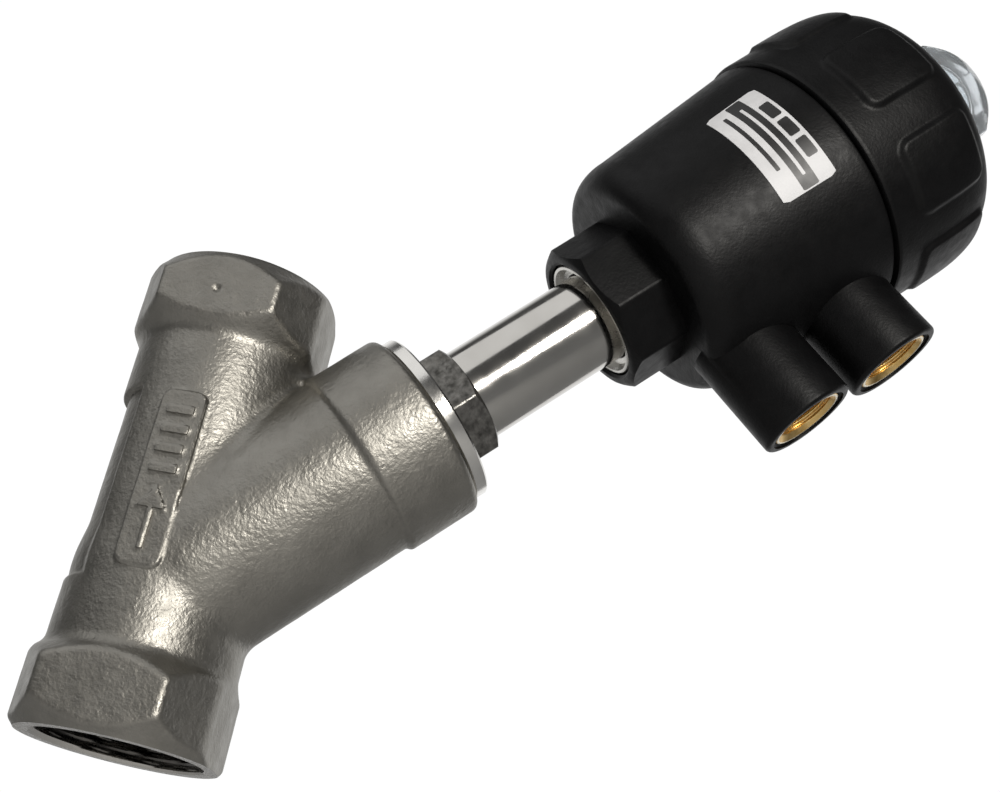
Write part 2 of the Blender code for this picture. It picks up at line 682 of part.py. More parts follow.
cast_steel = make_material("cast_steel", (0.42, 0.40, 0.37), 1.0, 0.48)
machined = make_material("machined_steel", (0.62, 0.61, 0.59), 1.0, 0.28)
polished = make_material("polished_steel", (0.74, 0.72, 0.68), 1.0, 0.16)
black_plastic = make_material("black_plastic", (0.018, 0.019, 0.02), 0.0, 0.42)
brass = make_material("brass", (0.72, 0.50, 0.20), 1.0, 0.3)
clear_plastic = make_material("clear_plastic", (0.72, 0.78, 0.84), 0.0, 0.08, 0.4)
white_seal = make_material("white_seal", (0.82, 0.81, 0.77), 0.0, 0.45)
black_rubber = make_material("black_rubber", (0.02, 0.02, 0.02), 0.0, 0.6)
spring_steel = make_material("spring_steel", (0.5, 0.5, 0.5), 1.0, 0.35)
red_plastic = make_material("indicator_red", (0.62, 0.05, 0.03), 0.0, 0.4)
foil = make_material("label_foil", (0.78, 0.79, 0.81), 0.6, 0.35)

valve_body(cast_steel)
body_gasket(white_seal)
bonnet(machined)
packing(white_seal, machined, spring_steel)
neck_tube(polished)

stem(polished)
plug_pieces(machined, white_seal)
piston(machined)
piston_trim(black_rubber, white_seal, machined, PISTON_R - 2.4, PISTON_R - 1.2)
position_indicator(red_plastic)

actuator_housing(black_plastic)
swivel_pieces(polished, black_rubber, white_seal)
port_inserts(brass)
actuator_cover(black_plastic)
cover_seal(black_rubber)
return_springs(spring_steel)
sight_cap(clear_plastic)
label_plate(foil)
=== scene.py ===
import json
import math

import bmesh
import bpy
import numpy as np
from mathutils import Matrix, Vector


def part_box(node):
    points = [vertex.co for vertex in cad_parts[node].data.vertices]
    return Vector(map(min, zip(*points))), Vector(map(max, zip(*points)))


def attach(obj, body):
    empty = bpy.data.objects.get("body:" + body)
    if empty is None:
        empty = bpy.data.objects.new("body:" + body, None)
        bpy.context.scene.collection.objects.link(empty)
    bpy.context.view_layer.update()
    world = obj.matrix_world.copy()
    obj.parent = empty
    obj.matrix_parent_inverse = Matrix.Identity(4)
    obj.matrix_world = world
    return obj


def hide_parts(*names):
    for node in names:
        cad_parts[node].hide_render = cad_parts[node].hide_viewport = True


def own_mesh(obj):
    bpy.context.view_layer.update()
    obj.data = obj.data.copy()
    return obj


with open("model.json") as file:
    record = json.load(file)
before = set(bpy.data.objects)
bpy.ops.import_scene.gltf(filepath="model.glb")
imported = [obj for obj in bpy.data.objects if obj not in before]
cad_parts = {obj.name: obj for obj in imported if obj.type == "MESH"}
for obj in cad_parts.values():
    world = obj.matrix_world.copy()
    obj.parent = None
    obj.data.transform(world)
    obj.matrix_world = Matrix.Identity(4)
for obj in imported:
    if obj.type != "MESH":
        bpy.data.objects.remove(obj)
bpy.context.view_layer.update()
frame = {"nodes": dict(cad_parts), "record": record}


# ---- sizes read from the frame, mm ----
def span(node):
    """Lowest and highest place of a CAD node along the actuator axis."""
    vertices = frame["nodes"][node].data.vertices
    flat = np.empty(len(vertices) * 3, np.float32)
    vertices.foreach_get("co", flat)
    points = flat.reshape(-1, 3) * 1000 - np.array([0, 0, AXIS_Z])
    along = (points @ np.array(Matrix.Rotation(LEAN, 3, "Y")))[:, 2]
    return float(along.min()), float(along.max())


LEAN = math.radians(45)
SLIDE, SWIVEL = frame["record"]["behaviour"]["joints"]
AXIS_Z = SWIVEL["pos_m"][2] * 1000
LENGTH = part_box("valve_body")[1].z * 1000
COLLAR_END = span("body_gasket")[1]
BONNET_LOW, BONNET_END = span("bonnet")
TUBE_END = span("neck_tube")[1]
COLLAR8_START, HOUSING_END = span("actuator_housing")
COVER_TOP = span("actuator_cover")[1]
SIGHT_END = span("sight_cap")[1]

# ---- other sizes, mm ----
PIPE_R = 18.4
WRENCH_AF = 41.0
WRENCH_LEFT = 19.7
WRENCH_RIGHT = 18.5
WRENCH_BACK = 4.4
END_FACE_R = 19.2
INLET_WRENCH = 15.8
OUTLET_WRENCH = 16.4
INLET_CHAMFER = 4.4
OUTLET_CHAMFER = 5.8
PIPE_THREAD = {"radius": 15.15, "depth": 1.48, "pitch": 2.309, "length": 18.0, "mouth": 16.7}
PORT_THREAD = {"radius": 5.8, "depth": 0.6, "pitch": 1.337, "length": 11.0, "mouth": 6.9}
SOCKET_END = 17.2
END_SPARE = 0.8
PASSAGE_R = 14.0
BRANCH_ROOT_R = 18.0
BRANCH_R = 18.9
COLLAR_R = 19.8
COLLAR_START = 44.3
CHAMBER_R = 15.8
SEAT_R = 11.5
SEAT_UNDER = 3.5
SEAT_FACE = 8.0
FLANGE_R = 18.0
FLANGE_END = 63.5
PACKING_START, PACKING_END, PACKING_R = 46.0, 65.1, 7.0
STEM_BORE = 4.6
HEX_AF = 22.5
HEX_TURN = math.radians(24.6)
TUBE_R = 9.8
TUBE_BORE = 7.6
TUBE_START = 65.4
TUBE_FLANGE_R, TUBE_FLANGE_START = 12.6, 105.8
SWIVEL_END = 105.5
COLLAR8_AF = 30.7
COLLAR8_TURN = math.radians(24.5)
RECESS_R = 13.2
RECESS_END = 108.6
BUSH_R = 8.3
FLOOR = 118.5
CYLINDER_R = 24.0
FOOT_R, FOOT_S, FOOT, FOOT_DEPTH = 22.0, 121.0, 4.5, 7.4
RIM_R = 29.5
RIM_EDGE = 0.6
REBATE_R = 27.0
REBATE_START = 145.5
PORT_FACE = 42.7
PORT_HEIGHTS = {"lower": 122.7, "upper": 144.6}
DRILL_R, DRILL_END = 1.8, 22.0
DRILL_ASIDE = {"lower": 0.0, "upper": -3.4}
BOSS_R = 10.0
BOSS_EDGE = 0.9
BOSS_ROOT = 20.0
INSERT_R = 7.6
INSERT_DEPTH = 11.6
COVER_START = HOUSING_END + 0.3
COVER_R = 30.25
PAD_R = 31.05
PAD_START, PAD_END = 161.4, 178.0
PAD_GROOVE = 8.4
PAD_TURN = math.radians(19.8)
DOME_START, DOME_POWER = 156.4, 5.7
CEILING = 180.5
EYE_R = 9.0
SIGHT_AF = 22.9
SIGHT_TURN = math.radians(15)
LABEL_TURNS = (math.radians(-26.0), math.radians(24.4))
LABEL_HEIGHTS = (136.5, 148.6)
LABEL_BAND = (141.2, 144.7)
LABEL_BARS = (145.5, 147.9)
LABEL_BAND_LINE = (142.6, 143.3)
LABEL_LINE = (138.9, 139.8)
PLATE = (-4.9, 4.0, 29.9, 65.3)
PLATE_RAISED, MARKS_RAISED, PLATE_ROOT = 0.7, 1.4, 12
ARROW_SHAFT, ARROW_TIP = (-1.1, 0.1, 33.0, 41.0), 45.5
BARS_ACROSS, BARS_LOW, BAR = (-3.2, 2.3), (48.0, 52.0, 56.0, 60.0), 2.0
DIMPLE_R, DIMPLE_Z = 0.9, 87.0
RECESS_DEPTH, RECESS_SIDE, RECESS_LOW, RECESS_HIGH = 1.25, 10.8, 28.0, 66.8
# Coil radius, wire radius and number of turns.
SPRINGS = {"outer_spring": (17.2, 1.5, 5.0), "inner_spring": (11.9, 1.1, 6.5)}

# ---- camera and lights, mm ----
CAMERA_AT = (77.24, -238.08, -28.26)
CAMERA_AIM = (37.4, 0.0, 75.6)
CAMERA_ROLL = math.radians(-12.99)
CAMERA_LENS = 46.87
CAMERA_SHIFT = (0.0997, 0.0187)
LIT_CENTER = (60, 0, 80)
LIGHTS = {
    "key": {"at": (270, -500, 130), "side": 120, "power": 2.5, "color": (1.0, 0.97, 0.92)},
    "fill": {"at": (-300, -350, 500), "side": 700, "power": 1.35, "color": (1.0, 1.0, 1.0)},
}
FLOOR_HALF, FLOOR_TOP, FLOOR_THICK = 3000, -210, 10

UPRIGHT = Matrix.Scale(0.001, 4)
ON_AXIS = Matrix.Translation((0, 0, AXIS_Z / 1000)) @ Matrix.Rotation(LEAN, 4, "Y") @ UPRIGHT


# ---- materials ----
NOISE_SPREAD = (0.3, 0.7)


def new_look(name, color, roughness, metallic=0.0):
    material = bpy.data.materials.new(name)
    material.use_nodes = True
    tree = material.node_tree
    shader = tree.nodes["Principled BSDF"]
    shader.inputs["Base Color"].default_value = (*color, 1)
    shader.inputs["Roughness"].default_value = roughness
    shader.inputs["Metallic"].default_value = metallic
    coords = tree.nodes.new("ShaderNodeTexCoord").outputs["Object"]
    return material, tree, shader, coords


def along_axis(tree, coords):
    """Coordinates whose Z runs along the actuator axis."""
    mapping = tree.nodes.new("ShaderNodeMapping")
    mapping.vector_type = "TEXTURE"
    mapping.inputs["Location"].default_value = (0, 0, AXIS_Z / 1000)
    mapping.inputs["Rotation"].default_value = (0, LEAN, 0)
    tree.links.new(coords, mapping.inputs["Vector"])
    return mapping.outputs["Vector"]


def noise(tree, coords, size, detail=2.0, stretch=(1, 1, 1)):
    """Noise whose lumps are about `size` mm across, and `stretch` times longer each way."""
    mapping = tree.nodes.new("ShaderNodeMapping")
    mapping.inputs["Scale"].default_value = [1 / s for s in stretch]
    tree.links.new(coords, mapping.inputs["Vector"])
    texture = tree.nodes.new("ShaderNodeTexNoise")
    texture.inputs["Scale"].default_value = 1000 / size
    texture.inputs["Detail"].default_value = detail
    tree.links.new(mapping.outputs["Vector"], texture.inputs["Vector"])
    return texture.outputs["Fac"]


def rings(tree, coords, spacing, distortion=0.4):
    """Fine turning marks round the Z axis of the coordinates."""
    wave = tree.nodes.new("ShaderNodeTexWave")
    wave.wave_type = "RINGS"
    wave.rings_direction = "Z"
    wave.inputs["Scale"].default_value = 1000 / spacing / 20 * math.pi
    wave.inputs["Distortion"].default_value = distortion
    wave.inputs["Detail"].default_value = 2.0
    tree.links.new(coords, wave.inputs["Vector"])
    return wave.outputs["Fac"]


def paint(tree, shader, factor, low, high):
    """The colour runs from low to high with the factor."""
    ramp = tree.nodes.new("ShaderNodeValToRGB")
    for element, position, color in zip(ramp.color_ramp.elements, NOISE_SPREAD, (low, high)):
        element.position = position
        element.color = (*color, 1)
    tree.links.new(factor, ramp.inputs["Fac"])
    tree.links.new(ramp.outputs["Color"], shader.inputs["Base Color"])


def gloss(tree, shader, factor, low, high):
    """The roughness runs from low to high with the factor."""
    spread = tree.nodes.new("ShaderNodeMapRange")
    spread.inputs["From Min"].default_value = NOISE_SPREAD[0]
    spread.inputs["From Max"].default_value = NOISE_SPREAD[1]
    spread.inputs["To Min"].default_value = low
    spread.inputs["To Max"].default_value = high
    tree.links.new(factor, spread.inputs["Value"])
    tree.links.new(spread.outputs["Result"], shader.inputs["Roughness"])


def bump(tree, shader, *layers):
    """Each layer is (height, depth in mm)."""
    normal = None
    for height, depth in layers:
        node = tree.nodes.new("ShaderNodeBump")
        node.inputs["Strength"].default_value = 1.0
        node.inputs["Distance"].default_value = depth / 1000
        tree.links.new(height, node.inputs["Height"])
        if normal:
            tree.links.new(normal, node.inputs["Normal"])
        normal = node.outputs["Normal"]
    tree.links.new(normal, shader.inputs["Normal"])


def cast_stainless():
    """Shot-blasted investment casting: pebbly, warm grey, with brighter worn patches."""
    material, tree, shader, coords = new_look("cast_stainless", (0.36, 0.34, 0.31), 0.4, 1.0)
    paint(tree, shader, noise(tree, coords, 7, 4), (0.235, 0.226, 0.204), (0.29, 0.279, 0.253))
    gloss(tree, shader, noise(tree, coords, 3, 3), 0.40, 0.50)
    pebbles = noise(tree, coords, 1.1, 2)
    grit = noise(tree, coords, 0.5, 2)
    bump(tree, shader, (pebbles, 0.13), (grit, 0.07))
    return material


def machined(name, color, on_axis, spacing=0.35, roughness=(0.2, 0.34)):
    """Turned metal with fine rings round the pipe axis or round the actuator axis."""
    material, tree, shader, coords = new_look(name, color, 0.27, 1.0)
    if on_axis:
        coords = along_axis(tree, coords)
    marks = rings(tree, coords, spacing)
    cloud = noise(tree, coords, 4, 3)
    paint(tree, shader, cloud, [c * 0.86 for c in color], color)
    gloss(tree, shader, cloud, *roughness)
    bump(tree, shader, (marks, 0.012), (noise(tree, coords, 0.5, 2), 0.012))
    return material


def ground_steel():
    """Bonnet hexagon: darker, ground, with small pits."""
    material, tree, shader, coords = new_look("ground_steel", (0.3, 0.29, 0.27), 0.36, 1.0)
    coords = along_axis(tree, coords)
    paint(tree, shader, noise(tree, coords, 1.6, 4), (0.07, 0.068, 0.063), (0.25, 0.243, 0.228))
    gloss(tree, shader, noise(tree, coords, 2, 3), 0.28, 0.46)
    bump(tree, shader, (noise(tree, coords, 0.7, 3), 0.10), (noise(tree, coords, 0.3, 1, (1, 1, 8)), 0.03))
    return material


def polished_steel():
    """Neck tube: bright, with very fine lines round it."""
    material, tree, shader, coords = new_look("polished_steel", (0.55, 0.535, 0.505), 0.13, 1.0)
    coords = along_axis(tree, coords)
    lines = noise(tree, coords, 0.25, 1, (30, 30, 1))
    gloss(tree, shader, noise(tree, coords, 5, 2), 0.09, 0.17)
    paint(tree, shader, noise(tree, coords, 9, 2), (0.50, 0.485, 0.455), (0.57, 0.555, 0.525))
    bump(tree, shader, (lines, 0.0025))
    return material


def black_plastic():
    """Glass-filled nylon: satin black with a fine grain."""
    material, tree, shader, coords = new_look("black_plastic", (0.007, 0.007, 0.0075), 0.4)
    paint(tree, shader, noise(tree, coords, 5, 3), (0.0018, 0.0018, 0.002), (0.0032, 0.0032, 0.0035))
    gloss(tree, shader, noise(tree, coords, 2.2, 3), 0.40, 0.50)
    shader.inputs["Specular IOR Level"].default_value = 0.17
    bump(tree, shader, (noise(tree, coords, 0.55, 2), 0.045), (noise(tree, coords, 6, 2), 0.12))
    return material


def brass():
    material, tree, shader, coords = new_look("brass", (0.83, 0.56, 0.2), 0.22, 1.0)
    cloud = noise(tree, coords, 2, 3)
    paint(tree, shader, cloud, (0.72, 0.46, 0.15), (0.9, 0.66, 0.3))
    gloss(tree, shader, cloud, 0.3, 0.4)
    bump(tree, shader, (noise(tree, coords, 0.4, 2), 0.01))
    return material


def clear_plastic():
    material, tree, shader, coords = new_look("clear_plastic", (0.84, 0.89, 0.93), 0.06)
    shader.inputs["Transmission Weight"].default_value = 0.85
    shader.inputs["IOR"].default_value = 1.49
    gloss(tree, shader, noise(tree, coords, 3, 2), 0.04, 0.11)
    bump(tree, shader, (noise(tree, coords, 2.5, 2), 0.03))
    return material


def plain_soft(name, low, high, roughness, grain=0.5, depth=0.02, metallic=0.0):
    """Seals, coatings and prints: a slightly uneven colour with a fine grain."""
    material, tree, shader, coords = new_look(name, high, roughness, metallic)
    cloud = noise(tree, coords, 3, 3)
    paint(tree, shader, cloud, low, high)
    gloss(tree, shader, cloud, roughness - 0.05, roughness + 0.05)
    bump(tree, shader, (noise(tree, coords, grain, 2), depth))
    return material


CAST = cast_stainless()
END_STEEL = machined("end_faces", (0.62, 0.60, 0.56), False)
# The thread colour is painted shade: the same steel as the end faces, darkened for the shade inside the pipe
# bores.
THREADS_PAINTED_SHADE = machined("threads_painted_shade", (0.16, 0.152, 0.14), False)
BRIGHT = machined("bright_turned", (0.78, 0.765, 0.73), True, 0.4, (0.14, 0.26))
TURNED = machined("turned_steel", (0.6, 0.585, 0.55), True)
GROUND = ground_steel()
POLISHED = polished_steel()
BLACK = black_plastic()
BRASS = brass()
PALE_BRASS = machined("pale_brass", (0.72, 0.66, 0.52), False, 0.4, (0.26, 0.36))
CLEAR = clear_plastic()
SEAL = plain_soft("white_seal", (0.72, 0.71, 0.67), (0.8, 0.79, 0.75), 0.42)
RUBBER = plain_soft("black_rubber", (0.012, 0.012, 0.012), (0.02, 0.02, 0.02), 0.6)
SPRING = plain_soft("spring_steel", (0.36, 0.36, 0.35), (0.5, 0.49, 0.47), 0.32, metallic=1.0)
RED = plain_soft("indicator_red", (0.5, 0.03, 0.02), (0.62, 0.05, 0.03), 0.35)
FOIL = plain_soft("label_foil", (0.52, 0.52, 0.53), (0.60, 0.60, 0.61), 0.46, 0.8, 0.006)
PRINT = plain_soft("label_print", (0.008, 0.008, 0.008), (0.014, 0.014, 0.014), 0.42, 0.8, 0.004)


# ---- mesh helpers, all in mm ----
SAME_PLACE = 0.0005


def add_object(name, data, *materials):
    obj = bpy.data.objects.new(name, data)
    bpy.context.scene.collection.objects.link(obj)
    for material in materials:
        data.materials.append(material)
    return obj


def mesh_object(name, vertices, faces, *materials):
    mesh = bpy.data.meshes.new(name)
    mesh.from_pydata(np.asarray(vertices).tolist(), [], np.asarray(faces).tolist())
    return add_object(name, mesh, *materials)


def clean(obj):
    """Merges the points that fall together, such as a profile's ends on the axis."""
    bm = bmesh.new()
    bm.from_mesh(obj.data)
    bmesh.ops.remove_doubles(bm, verts=bm.verts, dist=SAME_PLACE)
    bmesh.ops.dissolve_degenerate(bm, edges=bm.edges, dist=SAME_PLACE)
    bm.to_mesh(obj.data)
    bm.free()
    return obj


def lathe(name, profile, *materials, segments=160, closed=False, relief=None, turn=0.0):
    """A turned piece; the profile of (radius, height) runs down its outside."""
    rows = np.array(profile, float)
    angles = (np.arange(segments) * math.tau / segments + turn)[None, :]
    radius = np.repeat(rows[:, :1], segments, 1)
    height = np.repeat(rows[:, 1:], segments, 1)
    if relief:
        radius = relief(angles, radius, height)
    points = np.stack([radius * np.sin(angles), -radius * np.cos(angles), height], -1).reshape(-1, 3)
    i, j = np.meshgrid(np.arange(len(rows) - (0 if closed else 1)), np.arange(segments), indexing="ij")
    after, beside = (i + 1) % len(rows), (j + 1) % segments
    corners = [(i, j), (after, j), (after, beside), (i, beside)]
    faces = np.stack([(a * segments + b).ravel() for a, b in corners], -1)
    return clean(mesh_object(name, points, faces, *materials))


def prism(name, sides, across_flats, low, high, turn, *materials, round_over=0.0):
    """A prism with a corner at `turn` from the front, its upright edges rounded."""
    corner = across_flats / 2 / math.cos(math.pi / sides)
    bm = bmesh.new()
    loops = []
    for height in (low, high):
        turns = [turn + math.tau * i / sides for i in range(sides)]
        loops.append([bm.verts.new((corner * math.sin(t), -corner * math.cos(t), height)) for t in turns])
    bm.faces.new(loops[0][::-1])
    bm.faces.new(loops[1])
    for i in range(sides):
        j = (i + 1) % sides
        bm.faces.new((loops[0][i], loops[0][j], loops[1][j], loops[1][i]))
    if round_over:
        upright = [e for e in bm.edges if abs(e.verts[0].co.z - e.verts[1].co.z) > 0.5]
        bmesh.ops.bevel(bm, geom=upright, offset=round_over, segments=4, profile=0.5, affect="EDGES")
    mesh = bpy.data.meshes.new(name)
    bm.to_mesh(mesh)
    bm.free()
    return add_object(name, mesh, *materials)


def block(name, low, high):
    corners = [(x, y, z) for x in (low[0], high[0]) for y in (low[1], high[1]) for z in (low[2], high[2])]
    faces = [(0, 1, 3, 2), (4, 6, 7, 5), (0, 4, 5, 1), (2, 3, 7, 6), (0, 2, 6, 4), (1, 5, 7, 3)]
    return mesh_object(name, corners, faces)


def carve(obj, other, operation="DIFFERENCE"):
    """Applies one boolean and removes the other shape."""
    modifier = obj.modifiers.new("carve", "BOOLEAN")
    modifier.operation = operation
    modifier.solver = "MANIFOLD"
    modifier.object = other
    graph = bpy.context.evaluated_depsgraph_get()
    graph.update()
    mesh = bpy.data.meshes.new_from_object(obj.evaluated_get(graph))
    obj.modifiers.clear()
    obj.data = mesh
    bpy.data.objects.remove(other, do_unlink=True)


def threaded(name, thread, low, high, mouth_at, segments=120):
    """A cutter for an internal thread that runs out at its depth, with one chamfered mouth."""
    step = thread["pitch"] / 10
    rows = np.arange(high, low - step / 2, -step)
    profile = [(0.0, rows[0])] + [(1.0, s) for s in rows] + [(0.0, rows[-1])]

    def relief(angles, radius, height):
        phase = (height / thread["pitch"] - angles / math.tau) % 1.0
        tooth = np.clip(np.abs(phase - 0.5) * 3.2 - 0.3, 0, 1)
        start = np.abs(height - mouth_at)
        fade = np.clip((thread["length"] - start) / 1.5, 0, 1)
        cut = thread["radius"] + thread["depth"] * tooth * fade
        outside = (height - mouth_at) * (1 if mouth_at > (low + high) / 2 else -1)
        chamfer = thread["mouth"] - np.maximum(0, -outside)
        return np.where(radius > 0.5, np.maximum(cut, chamfer), 0.0)

    return lathe(name, profile, segments=segments, relief=relief)


def shade(mesh, angle):
    """Smooth shading with sharp edges above the angle, in degrees."""
    mesh.shade_smooth()
    mesh.set_sharp_from_angle(angle=math.radians(angle))


def finish_piece(obj, matrix, body, slot, *nodes, angle=32):
    """Moves the drawn piece into the frame, in metres, shades it and hides the CAD nodes it stands for."""
    obj.data.transform(matrix)
    shade(obj.data, angle)
    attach(obj, body)
    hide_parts(*nodes)


# ---- smooth solids from distance fields, negative inside ----
def smin(a, b, k):
    """The nearer of two shapes, blended over about k mm."""
    h = np.clip(0.5 + 0.5 * (b - a) / k, 0, 1)
    return b + (a - b) * h - k * h * (1 - h)


def smax(a, b, k):
    """What two shapes share, its edges rounded over about k mm."""
    return -smin(-a, -b, k)


CELLS = 32
LATTICE = np.random.RandomState(7).rand(CELLS, CELLS, CELLS)


def lattice_noise(x, y, z, size):
    """Smooth noise from -1 to 1 with lumps of about `size` mm."""
    parts, weights = [], []
    for value in (x, y, z):
        scaled = value / size + 100.0
        whole = np.floor(scaled).astype(int)
        share = scaled - whole
        parts.append((whole % CELLS, (whole + 1) % CELLS))
        weights.append(share * share * (3 - 2 * share))
    total = 0.0
    for i in (0, 1):
        for j in (0, 1):
            for k in (0, 1):
                wx = weights[0] if i else 1 - weights[0]
                wy = weights[1] if j else 1 - weights[1]
                wz = weights[2] if k else 1 - weights[2]
                total = total + LATTICE[parts[0][i], parts[1][j], parts[2][k]] * wx * wy * wz
    return total * 2 - 1


def surface_net(field, low, high, step):
    """Vertices and quads of the surface where the field crosses zero; the solid is where it is negative."""
    axes = [np.arange(l, h + step, step) for l, h in zip(low, high)]
    values = field(*np.meshgrid(*axes, indexing="ij"))
    cells = np.array(values.shape) - 1
    total = np.zeros((cells.prod(), 3))
    count = np.zeros(cells.prod())
    quads = []
    for axis in range(3):
        near = [slice(None)] * 3
        far = [slice(None)] * 3
        near[axis], far[axis] = slice(0, -1), slice(1, None)
        va, vb = values[tuple(near)], values[tuple(far)]
        index = np.nonzero((va < 0) != (vb < 0))
        share = va[index] / (va[index] - vb[index])
        points = np.stack([axes[n][index[n]] for n in range(3)], -1)
        points[:, axis] += share * step
        first, second = [n for n in range(3) if n != axis]
        ids = []
        for back_first, back_second in ((1, 1), (0, 1), (0, 0), (1, 0)):
            cell = [part.copy() for part in index]
            cell[first] -= back_first
            cell[second] -= back_second
            flat = np.ravel_multi_index(cell, cells)
            total += np.stack([np.bincount(flat, points[:, n], len(count)) for n in range(3)], -1)
            count += np.bincount(flat, minlength=len(count))
            ids.append(flat)
        quad = np.stack(ids, -1)
        keep_order = (va[index] < 0) != (axis == 1)
        quads.append(np.where(keep_order[:, None], quad, quad[:, ::-1]))
    used = count > 0
    number = np.cumsum(used) - 1
    points = total[used] / count[used, None]
    eps = step * 0.05
    for _ in range(3):
        x, y, z = points.T
        here = field(x, y, z)
        slope = np.stack([field(x + eps, y, z), field(x, y + eps, z), field(x, y, z + eps)], -1)
        slope = (slope - here[:, None]) / eps
        move = here[:, None] * slope / np.maximum((slope ** 2).sum(-1, keepdims=True), 0.05)
        points = points - np.clip(move, -0.4 * step, 0.4 * step)
    return points, number[np.concatenate(quads)]


# ---- valve body ----
def rounded_rect(u, v, low_u, high_u, low_v, high_v, corner):
    """Distance to a flat rectangle with rounded corners."""
    du = np.abs(u - (low_u + high_u) / 2) - (high_u - low_u) / 2 + corner
    dv = np.abs(v - (low_v + high_v) / 2) - (high_v - low_v) / 2 + corner
    outside = np.hypot(np.maximum(du, 0), np.maximum(dv, 0))
    return outside + np.minimum(np.maximum(du, dv), 0) - corner


def wrench_field(x, y, z, r, depth, face_chamfer, shoulder):
    """Hexagon end, chamfered at its face and at its back; depth runs inwards from the end face."""
    half = WRENCH_AF / 2
    sides = np.abs(y) - half
    for angle in (30, 150):
        across = np.abs(x * math.cos(math.radians(angle)) + y * math.sin(math.radians(angle))) - half
        sides = smax(sides, across, 0.8)
    sides = smax(sides, x - WRENCH_RIGHT, 1.0)
    sides = smax(sides, -x - WRENCH_LEFT, 1.0)
    corner = half / math.cos(math.pi / 6)
    slope = (corner - END_FACE_R) / face_chamfer
    face = (r - END_FACE_R - depth * slope) / math.hypot(1, slope)
    slope = (corner - PIPE_R - 0.3) / WRENCH_BACK
    back = (r - PIPE_R - 0.3 - (shoulder - depth) * slope) / math.hypot(1, slope)
    return smax(smax(sides, face, 0.4), back, 0.8)


def mark_field(x, z):
    """Raised generic marks on the plate: a flow arrow and plain bars."""
    shaft = rounded_rect(x, z, *ARROW_SHAFT, 0.4)
    neck = ARROW_SHAFT[3]
    head = np.maximum(np.abs(x + 0.5) - (ARROW_TIP - z) * 0.62, neck - z) * 0.85
    marks = np.minimum(shaft, head)
    for low in BARS_LOW:
        marks = np.minimum(marks, rounded_rect(x, z, *BARS_ACROSS, low, low + BAR, 0.6))
    return marks


def body_field(x, y, z):
    r = np.hypot(x, y)
    pipe = r - PIPE_R - 0.15 * np.clip(np.abs(z - LENGTH / 2) / 40, 0, 1)
    inlet = wrench_field(x, y, z, r, z, INLET_CHAMFER, INLET_WRENCH)
    outlet = wrench_field(x, y, z, r, LENGTH - z, OUTLET_CHAMFER, OUTLET_WRENCH)
    shape = smin(smin(pipe, inlet, 1.2), outlet, 1.2)
    floor = PIPE_R - RECESS_DEPTH
    relief = np.maximum.reduce([floor - r, x + RECESS_SIDE, RECESS_LOW - z, z - RECESS_HIGH])
    shape = smax(shape, -relief, 0.6)

    up = z - AXIS_Z
    s = (x + up) * math.sqrt(0.5)
    across = np.sqrt(np.maximum(x * x + y * y + up * up - s * s, 1e-9))
    widening = np.clip(s / 7, 0, 1)
    widening = widening * widening * (3 - 2 * widening)
    tube = across - (BRANCH_ROOT_R + (BRANCH_R - BRANCH_ROOT_R) * widening)
    ball = np.sqrt(x * x + y * y + up * up) - BRANCH_ROOT_R
    branch = smax(np.where(s > 0, tube, ball), s - COLLAR_END + 1, 0.5)
    collar = smax(smax(across - COLLAR_R, COLLAR_START - s, 0.9), s - COLLAR_END, 1.6)
    branch = smin(branch, collar, 0.9)
    crotch = np.clip((up - 12) / 14, 0, 1)
    shape = smin(shape, branch, 1.5 + 1.2 * crotch)

    outline = rounded_rect(x, z, *PLATE, 2.2)
    root = y + PLATE_ROOT
    plate = np.maximum(smax(outline, -y - PIPE_R - PLATE_RAISED, 0.5), root)
    marks = np.maximum(smax(mark_field(x, z), -y - PIPE_R - MARKS_RAISED, 0.25), root)
    shape = smin(smin(shape, plate, 0.4), marks, 0.2)
    dimple = DIMPLE_R - np.sqrt((x + 0.2) ** 2 + (z - DIMPLE_Z) ** 2 + (y + WRENCH_AF / 2 + 0.3) ** 2)
    shape = smax(shape, dimple, 0.3)
    return shape + 0.035 * lattice_noise(x, y, z, 6.0) + 0.018 * lattice_noise(x, y, z, 1.7)


def slanted_passage(name, flat_end, slant):
    """A round passage on the pipe axis, ending on a plane square to the actuator axis."""
    rod = lathe(name, [(0, 1), (PASSAGE_R, 1), (PASSAGE_R, 0), (0, 0)], segments=96)
    slanted_is_top = flat_end < AXIS_Z
    for vertex in rod.data.vertices:
        if (vertex.co.z > 0.5) == slanted_is_top:
            vertex.co.z = AXIS_Z + slant / math.cos(LEAN) - vertex.co.x * math.tan(LEAN)
        else:
            vertex.co.z = flat_end
    return rod


def to_upright(obj):
    """Turns a cutter drawn along the actuator axis into the upright drawing."""
    obj.data.transform(Matrix.Translation((0, 0, AXIS_Z)) @ Matrix.Rotation(LEAN, 4, "Y"))
    return obj


def surface_kind(center, normal):
    """Material index: 0 as cast, 1 end face or the mouth's chamfer, 2 thread, coloured dark as painted shade
    inside the bore.
    """
    depth = min(center.z, LENGTH - center.z)
    if math.hypot(center.x, center.y) < PIPE_THREAD["mouth"] + 0.2 and depth < PIPE_THREAD["length"] + 0.3:
        return 2 if depth > 0.8 else 1
    return 1 if abs(normal.z) > 0.99 and depth < 0.02 else 0


def uncut_body(x, y, z):
    """The body with a little to spare at both ends, where the end faces are cut flat."""
    return np.maximum(body_field(x, y, z), np.maximum(-END_SPARE - z, z - LENGTH - END_SPARE))


